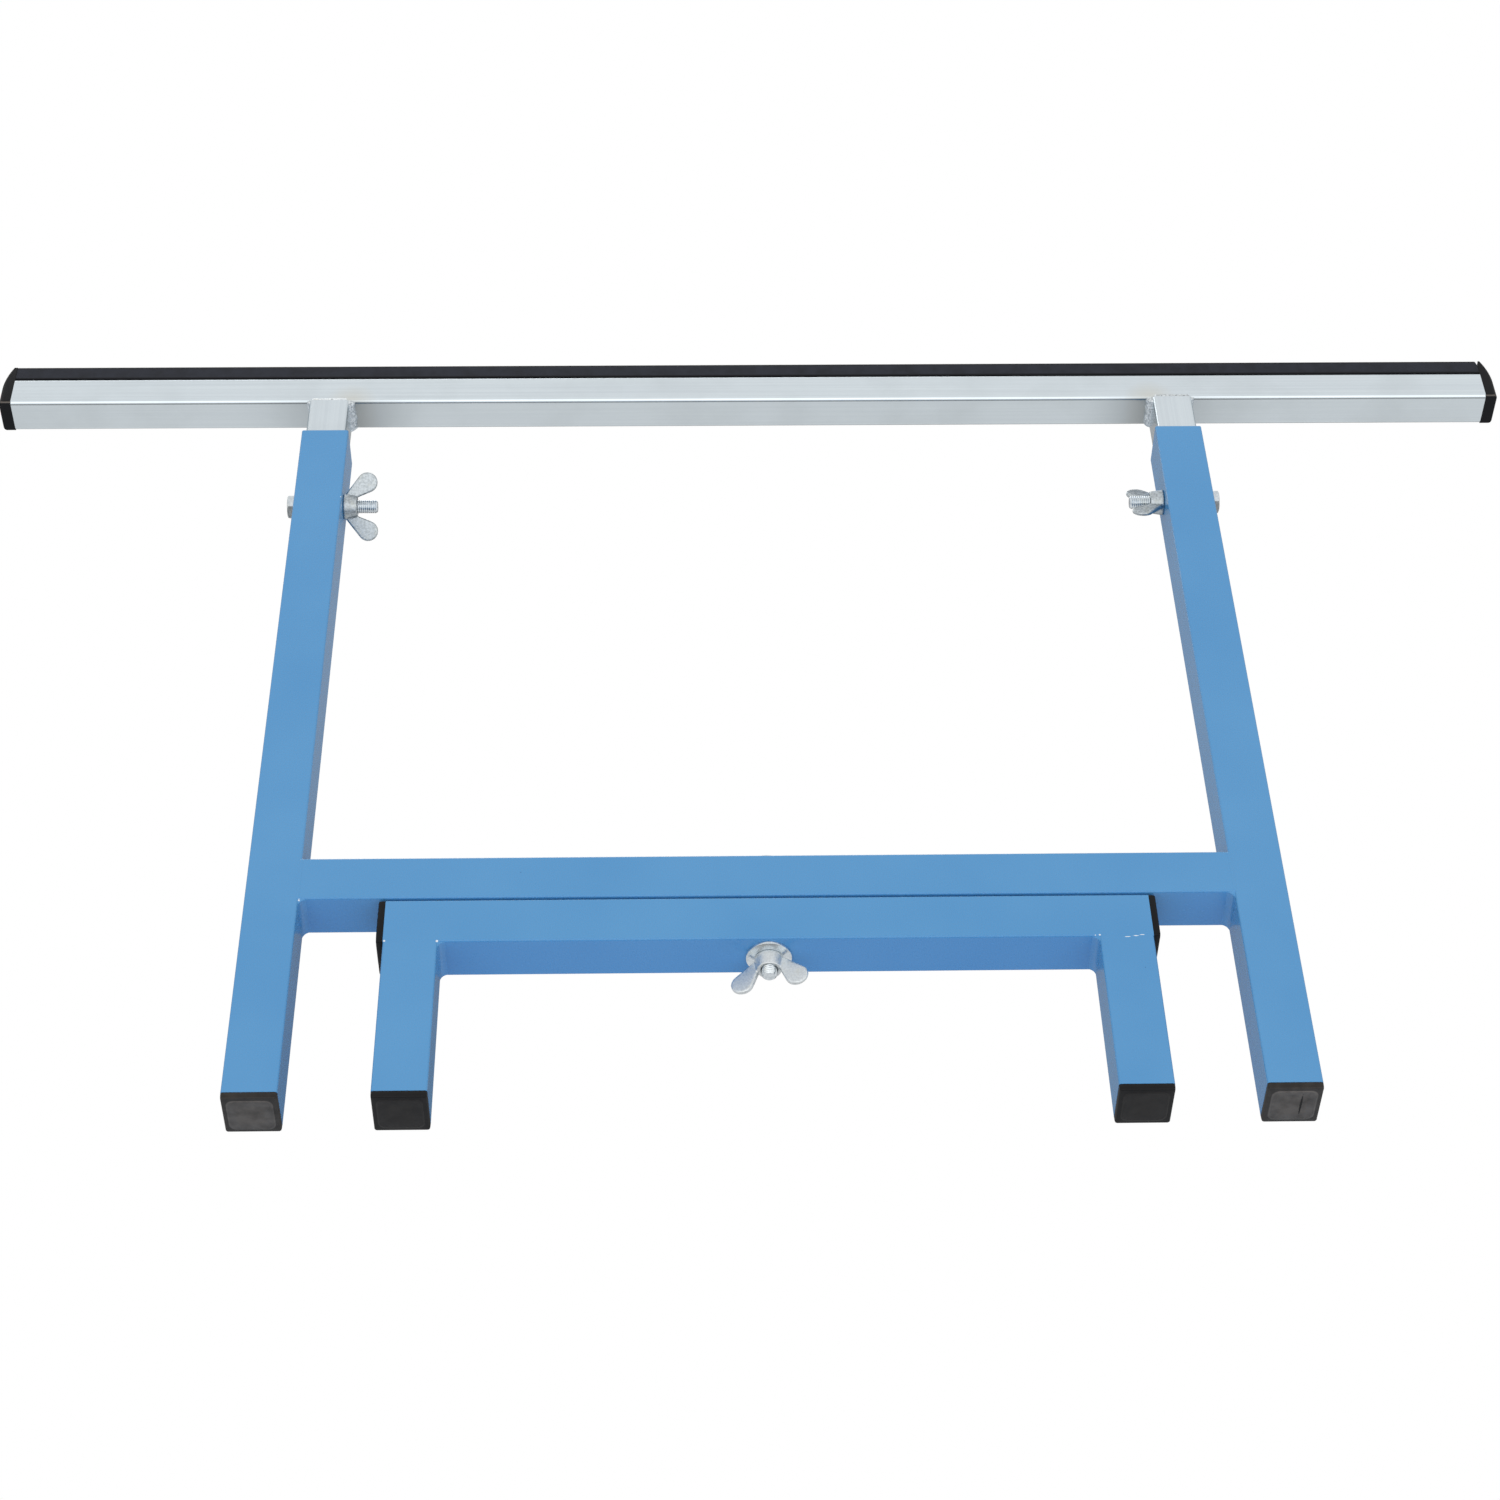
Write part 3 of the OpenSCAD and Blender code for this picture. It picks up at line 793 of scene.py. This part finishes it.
for label, side in SIDES.items():
    name = "end_cap_" + label
    rail_end = size_mm("rail")[0] / 2
    cap_low, cap_high = box_mm(name)
    thick = max(abs(cap_low[0]), abs(cap_high[0])) - rail_end
    chamfer = NOTCH_W if side == RIGHT else PLAIN_CHAMFER
    grid = cap_grid(cap_outline(thick, cap_high[2] - cap_low[2], chamfer), thick, RAIL_SIDE / 2)
    cap = place(grid, (side * rail_end, 0, RAIL_Z), [(side, 0, 0), (0, 0, 1), (0, 1, 0)])
    lifted = grid[..., 1] - grid[len(grid) // 2, :, 1]
    # Painted highlight: paler grey along the lower crease, where the rounding lifts the underside.
    crease_sheen = CREASE_HIGHLIGHT * np.clip(lifted / HIGHLIGHT_RISE, 0, 1) * (grid[..., 1] < CAP_EDGE + 0.1)
    crease_sheen[[0, 1, -2, -1]] = 0
    mesh = grid_mesh(name, [(cap, False, True)], crease_sheen)
    add_piece(name, mesh, BLACK_PLASTIC, "top", "black_plastic", name, sharp=30)

# %% [markdown]
# ## Bolts and washers
# A bolt is two surfaces. The head is a hexagon whose radius depends on the angle, trimmed by a cone.
# The shank is a cylinder whose radius rises and falls with the height less the turn, which is a thread.

# %% Head and shank

PITCH = 1.5
BOLT_R = 5.0
CREST_IN = 0.02
THREAD_DEEP = 0.65
THREADED = 32
TIP_IN = 1.2
HEAD_S = 16.0
HEAD_H = 6.4
HEAD_COLS = 72
HEAD_BEVEL = 0.3
HEAD_DISH = 0.4


def around(radius, height):
    """Points at radius and height, both [rows, cols], with the columns spread round z."""
    turn = np.linspace(0, 2 * np.pi, radius.shape[1], endpoint=False)
    return np.stack([radius * np.cos(turn), radius * np.sin(turn), height + 0 * radius], -1)


def turned(section, cols):
    """A section of (radius, z) turned about z."""
    section = np.array(section)
    return around(np.repeat(section[:, :1], cols, axis=1), section[:, 1:])


def hex_head():
    """Radius s / 2 / cos(t) at angle t from the nearest flat. A 30 degree cone takes the corners off."""
    turn = np.linspace(0, 2 * np.pi, HEAD_COLS, endpoint=False)
    from_flat = turn % (np.pi / 3) - np.pi / 6
    hexagon = HEAD_S / 2 / np.cos(from_flat)
    flat = 0.95 * HEAD_S / 2
    shoulder = -HEAD_H + (hexagon - flat) * np.tan(np.radians(30))
    dish = HEAD_DISH - HEAD_H
    rows = [(0, 0), (hexagon - HEAD_BEVEL, 0), (hexagon, -HEAD_BEVEL), (hexagon, shoulder), (flat, -HEAD_H),
            (0.8 * flat, -HEAD_H), (0.7 * flat, dish), (0, dish)]
    radius, height = [np.stack([np.broadcast_to(value, turn.shape) for value in column])
                      for column in zip(*rows)]
    return around(radius, height)


def threaded_shank(length):
    """Radius = crest - depth |2 frac(z / pitch - t / 2 pi) - 1| over the threaded end, which has a 45
    degree tip."""
    start = length - THREADED
    z = np.concatenate([[0, 0], np.arange(start, length, PITCH / 8), [length, length]])[:, None]
    turn = np.linspace(0, 1, 40, endpoint=False)[None]
    wave = np.abs(2 * ((z / PITCH - turn) % 1) - 1)
    radius = BOLT_R - CREST_IN - THREAD_DEEP * wave * (z > start)
    radius = np.minimum(radius, BOLT_R - TIP_IN + (length - z))
    radius[[0, -1]] = 0
    return around(radius, z)


# %% Three bolts

HEAD_TURN = 14


def add_bolt(name, origin, axes, length, turn):
    grids = [hex_head() @ spun(turn), threaded_shank(length)]
    mesh = grid_mesh(name, [(place(grid, origin, axes), False, True) for grid in grids])
    add_piece(name, mesh, BRIGHT_ZINC, "main_frame", "zinc_hardware", name, sharp=25)


for label, side in SIDES.items():
    name = "height_bolt_" + label
    shank = size_mm(name)[0] - HEAD_H
    add_bolt(name, (side * FRAME_W / 2, 0, BOLT_Z), sideways(side), shank, -side * HEAD_TURN)
pivot_low, pivot_high = box_mm("pivot_bolt")
head_z = pivot_high[2] - HEAD_H
add_bolt("pivot_bolt", (0, 0, head_z), HANGING, pivot_high[2] - pivot_low[2] - HEAD_H, 0)

# %% Washers

WASHER_PLAY = 0.25


def washer(outer, inner, thick):
    """A ring's section, with punched edges: round where the punch went in and sharp where it came out."""
    return turned([(inner, 0), (outer - 0.1, 0), (outer, 0.15), (outer, thick - 0.5),
                   (outer - 0.15, thick - 0.15), (outer - 0.5, thick), (inner + 0.3, thick),
                   (inner, thick - 0.3)], 64)


def add_washer(name, body, axes):
    """The washer fills its CAD box, and its round side faces along the third of the axes."""
    low, high = box_mm(name)
    facing = np.array(axes[2])
    flat = np.abs(facing).argmax()
    thick = (high - low)[flat]
    outer = np.delete(high - low, flat).max() / 2
    origin = (low + high) / 2 - facing * thick / 2
    ring = place(washer(outer, BOLT_R + WASHER_PLAY, thick), origin, axes)
    mesh = grid_mesh(name, [(ring, True, True)])
    add_piece(name, mesh, BRIGHT_ZINC, body, "zinc_hardware", name, sharp=25)


add_washer("pivot_head_washer", "main_frame", UPRIGHT)
add_washer("pivot_washer", "cross_foot", HANGING)
add_washer("spacer_washer", "cross_foot", UPRIGHT)

# %% [markdown]
# ## Wing nuts
# A wing nut is cast in one piece, so hub and wings flow into each other. Three closed grids, a turned
# hub and two flat wings, are laid through each other. A voxel remesh makes one skin of them, and a few
# rounds of smoothing draw the fillets that the casting has.

# %% Hub and wings

NUT_SPAN = 51.0
NUT_H = size_mm("pivot_wing_nut")[2]
NUT_BORE_R = 5.35
HUB_H = 10.0
LOBE_R = 7.5
WING_EDGE = 0.7


def hub():
    """A cone from the wide base to the top, with a countersunk bore."""
    return turned([(NUT_BORE_R, 0.8), (6.1, 0), (9.0, 0), (9.5, 0.6), (8.0, HUB_H), (6.3, HUB_H),
                   (NUT_BORE_R, HUB_H - 0.9)], 48)


def tangent(point, centre, radius, side):
    """Angle, seen from a circle's centre, of the place where a line from the point touches the circle."""
    away = np.array(point) - centre
    return np.degrees(np.arctan2(away[1], away[0]) + side * np.arccos(radius / np.linalg.norm(away)))


def wing(direction):
    """A flat outline, from two roots in the hub by tangents round a lobe, that thins towards its tip."""
    lobe = np.array([NUT_SPAN / 2 - LOBE_R, NUT_H - LOBE_R])
    low, high = (8.3, 0.6), (6.8, HUB_H - 0.2)
    start = tangent(low, lobe, LOBE_R, 1)
    stop = tangent(high, lobe, LOBE_R, -1)
    outline = np.vstack([[low], arc(lobe, LOBE_R, start, stop % 360, 40), [high]])
    middle = np.tile(outline.mean(0), (len(outline), 1))
    inner = drawn_in(outline, WING_EDGE)
    half = np.interp(outline[:, 0], [7, 25], [2.0, 1.35])
    rows = [(middle, -half.mean()), (inner, -half), (outline, -0.6 * half),
            (outline, 0.6 * half), (inner, half), (middle, half.mean())]
    return np.stack([np.column_stack([direction * row[:, 0], direction * (y + 0 * row[:, 0]), row[:, 1]])
                     for row, y in rows])


# %% Cast nuts

VOXEL = 0.45
SMOOTHINGS = 5


def cast_together(mesh):
    """One skin over all of a mesh's closed shells, smoothed."""
    rough = bpy.data.objects.new("casting", mesh)
    bpy.context.collection.objects.link(rough)
    skin = rough.modifiers.new("skin", "REMESH")
    skin.mode = "VOXEL"
    skin.voxel_size = VOXEL * MM
    ease = rough.modifiers.new("ease", "SMOOTH")
    ease.iterations = SMOOTHINGS
    view = bpy.context.evaluated_depsgraph_get()
    cast = bpy.data.meshes.new_from_object(rough.evaluated_get(view))
    bpy.data.objects.remove(rough)
    return cast


def add_wing_nut(name, origin, axes, body, turn, plating):
    grids = [(hub(), True, True), (wing(1), False, True), (wing(-1), False, True)]
    placed = [(place(grid @ spun(turn), origin, axes), rows, cols) for grid, rows, cols in grids]
    cast = cast_together(grid_mesh(name, placed))
    add_piece(name, cast, plating, body, "zinc_hardware", name, sharp=80)


nut_x = FRAME_W / 2 - TUBE
washer_z = box_mm("pivot_washer")[0][2]
# The height nuts take the darker plating: painted shade for the darker reflections on their wings.
add_wing_nut("wing_nut_left", (-nut_x, 0, BOLT_Z), sideways(LEFT), "left_nut", 46, SHADED_CAST_ZINC)
add_wing_nut("wing_nut_right", (nut_x, 0, BOLT_Z), sideways(RIGHT), "right_nut", 21, SHADED_CAST_ZINC)
add_wing_nut("pivot_wing_nut", (0, 0, washer_z), HANGING, "pivot_nut", 15, CAST_ZINC)

# %% [markdown]
# ## Camera
# The photographed trestle lies on its back with its feet towards the camera, so the camera looks up at
# the standing part from below its front. The lens comes from the focal length in pixels of a frame of
# 1500 by 1500, and the directions of the view and of the picture's right give the camera's turn.

# %% Camera below the front

FRAME_PX = 1500
FOCAL_PX = 3087.6
SENSOR_MM = 36.0
CLIP_M = 500
CAMERA_MM = np.array([-54.3, -1531.9, -1161.5])
VIEW = np.array([0.02156, 0.72111, 0.69248])
PICTURE_RIGHT = np.array([0.99974, -0.01062, -0.02008])


def unit(vector):
    """The vector over its length."""
    return vector / np.linalg.norm(vector)


def aim(thing, place_m, forward, rightward):
    """Puts a camera or a lamp at a place. Both look along their own -z, with x to the right."""
    matrix = np.eye(4)
    matrix[:3, :3] = np.stack([rightward, np.cross(rightward, forward), -forward], -1)
    matrix[:3, 3] = place_m
    thing.matrix_world = Matrix(matrix.tolist())


camera_data = bpy.data.cameras.new("camera")
camera_data.sensor_width = SENSOR_MM
camera_data.lens = FOCAL_PX * SENSOR_MM / FRAME_PX
camera_data.clip_end = CLIP_M
camera = bpy.data.objects.new("camera", camera_data)
bpy.context.collection.objects.link(camera)
forward = unit(VIEW)
aim(camera, CAMERA_MM * MM, forward, unit(PICTURE_RIGHT - forward * (PICTURE_RIGHT @ forward)))
bpy.context.scene.camera = camera
print(f"lens {camera_data.lens:.1f} mm")

# %% [markdown]
# ## Floor
# The floor is pale and can be seen only from above: its underside lets the view and the light through,
# because the camera stands lower than the floor. It glows a little, and more so far away, until it is
# as white as the sky behind it and no horizon shows.

# %% One-sided floor

FLOOR_HALF_M = 60.0
FADE_M = (1.0, 8.0)
FLOOR_GLOW = (0.4, 0.62)
corners = np.array([(-1, -1, 0), (1, -1, 0), (1, 1, 0), (-1, 1, 0)]) * FLOOR_HALF_M
floor_mesh = bpy.data.meshes.new("floor")
floor_mesh.from_pydata(corners.tolist(), [], [(0, 1, 2, 3)])
floor = bpy.data.objects.new("floor", floor_mesh)
bpy.context.collection.objects.link(floor)
floor.visible_shadow = False
floor.visible_diffuse = False
floor.visible_glossy = False
floor_paint, tree, shader, coords = new_material(
    "pale_floor", Roughness=0.9, Base_Color=linear("#E6E6E4"), Emission_Color=WHITE)
far = add(tree, "VectorMath", {0: coords}, operation="LENGTH").outputs["Value"]
tree.links.new(spread(tree, far, *FADE_M, *FLOOR_GLOW), shader.inputs["Emission Strength"])
below = add(tree, "NewGeometry").outputs["Backfacing"]
clear = add(tree, "BsdfTransparent").outputs[0]
one_sided = add(tree, "MixShader", {0: below, 1: shader.outputs[0], 2: clear})
tree.links.new(one_sided.outputs[0], tree.nodes["Material Output"].inputs["Surface"])
floor_mesh.materials.append(floor_paint)

# %% [markdown]
# ## Light
# A photographer lights such a thing with white cards all round it, and each flat face takes the tone of
# the card that it looks at. So the light is a sky whose brightness changes with the angle about X, from
# above over the front and below to behind. Towards the two ends of X it goes over to the level of the
# side cards, which matt faces get less of than reflections do. One dark card stands behind, a little
# above. Only reflections see it, and it darkens the inner sides of the legs, the left ones most.

# %% Brightness by angle

SKY_STOPS = [
    (-180, 0.7), (-155, 0.4), (-110, 0.4), (-75, 0.7), (-44, 0.92), (-28, 0.92), (-10, 0.86), (12, 1.05),
    (26, 1.5), (54, 1.5), (66, 1.2), (88, 0.45), (103, 0.2), (114, 0.3), (128, 0.8), (165, 0.78), (180, 0.7),
]
TOP_LEVEL = max(level for _, level in SKY_STOPS)


def sky_level(tree, angle):
    """Brightness between the stops, which are at angles in degrees. A ramp's colours are at most 1, so
    they hold each level's share of the top level."""
    ramp = add(tree, "ValToRGB", {0: spread(tree, angle, -np.pi, np.pi, 0.0, 1.0)})
    elements = ramp.color_ramp.elements
    for index, (degrees, level) in enumerate(SKY_STOPS):
        position = degrees / 360 + 0.5
        share = level / TOP_LEVEL
        stop = elements[index] if index < 2 else elements.new(position)
        stop.position = position
        stop.color = (share, share, share, 1)
    return calc(tree, "MULTIPLY", ramp.outputs[0], TOP_LEVEL)


# %% Side cards and dark card

SIDE_LEVEL = 0.45
SIDE_GLOSS = 0.95
CARD_LEVEL = 0.03
CARD_TOP = np.radians((-145, -135))
CARD_FOOT = np.radians((-180, -170))
CARD_EDGE = (-0.15, 0.1)
CARD_LEFT = 0.3


def studio(tree, direction, glossy):
    """Light from each direction. The angle atan2(-z, -y) is 0 in front, 90 below, 180 behind and -90 above.
    The dark card fades out at its top and foot, and to a part of its strength on the left."""
    x, y, z = add(tree, "SeparateXYZ", {0: direction}).outputs
    ahead = calc(tree, "MULTIPLY", y, -1.0)
    down = calc(tree, "MULTIPLY", z, -1.0)
    angle = calc(tree, "ARCTAN2", down, ahead)
    upper = spread(tree, angle, *CARD_TOP, 1.0, 0.0)
    lower = spread(tree, angle, *CARD_FOOT, 0.0, 1.0)
    to_right = spread(tree, x, *CARD_EDGE, CARD_LEFT, 1.0)
    card = calc(tree, "MULTIPLY", calc(tree, "MULTIPLY", upper, lower), to_right)
    mirrored = calc(tree, "MULTIPLY", card, glossy)
    dimmed = fade(tree, mirrored, sky_level(tree, angle), CARD_LEVEL)
    outward = calc(tree, "MULTIPLY", x, x)
    return fade(tree, outward, dimmed, fade(tree, glossy, SIDE_LEVEL, SIDE_GLOSS))


# %% [markdown]
# The background itself is plain white. Light from below and behind reaches matt faces bluer than the
# rest, as if off a cool floor, which gives the undersides of the blue tubes their deep tone. One soft
# lamp above lights the top.

# %% Sky and lamp

BLUE_FROM = (0.0, 0.5, -0.85)
BLUE_TINT = (0.55, 0.82, 1.22, 1.0)
LAMP_M = np.array([-0.5, 0.3, 2.8])
LAMP_TARGET_M = np.array([0.0, 0.0, 0.3])
LAMP_UP = (0.0, 1.0, 0.1)
LAMP_SIZE_M = 2.0
LAMP_WATTS = 20

world = bpy.data.worlds.new("white_studio")
bpy.context.scene.world = world
world.use_nodes = True
tree = world.node_tree
sky = tree.nodes["Background"]
direction = add(tree, "TexCoord").outputs["Generated"]
ray = add(tree, "LightPath").outputs
glow = studio(tree, direction, ray["Is Glossy Ray"])
tree.links.new(fade(tree, ray["Is Camera Ray"], glow, 1.0), sky.inputs["Strength"])
low = add(tree, "VectorMath", {0: direction, 1: BLUE_FROM}, operation="DOT_PRODUCT").outputs["Value"]
shade = calc(tree, "MULTIPLY", spread(tree, low, 0.2, 0.8, 0.0, 1.0), ray["Is Diffuse Ray"])
tree.links.new(blend(tree, shade, WHITE, BLUE_TINT), sky.inputs["Color"])

light = bpy.data.lights.new("top_lamp", "AREA")
light.size = LAMP_SIZE_M
light.energy = LAMP_WATTS
lamp = bpy.data.objects.new("top_lamp", light)
bpy.context.collection.objects.link(lamp)
gaze = unit(LAMP_TARGET_M - LAMP_M)
aim(lamp, LAMP_M, gaze, unit(np.cross(gaze, LAMP_UP)))
bpy.context.scene.view_settings.view_transform = "Standard"
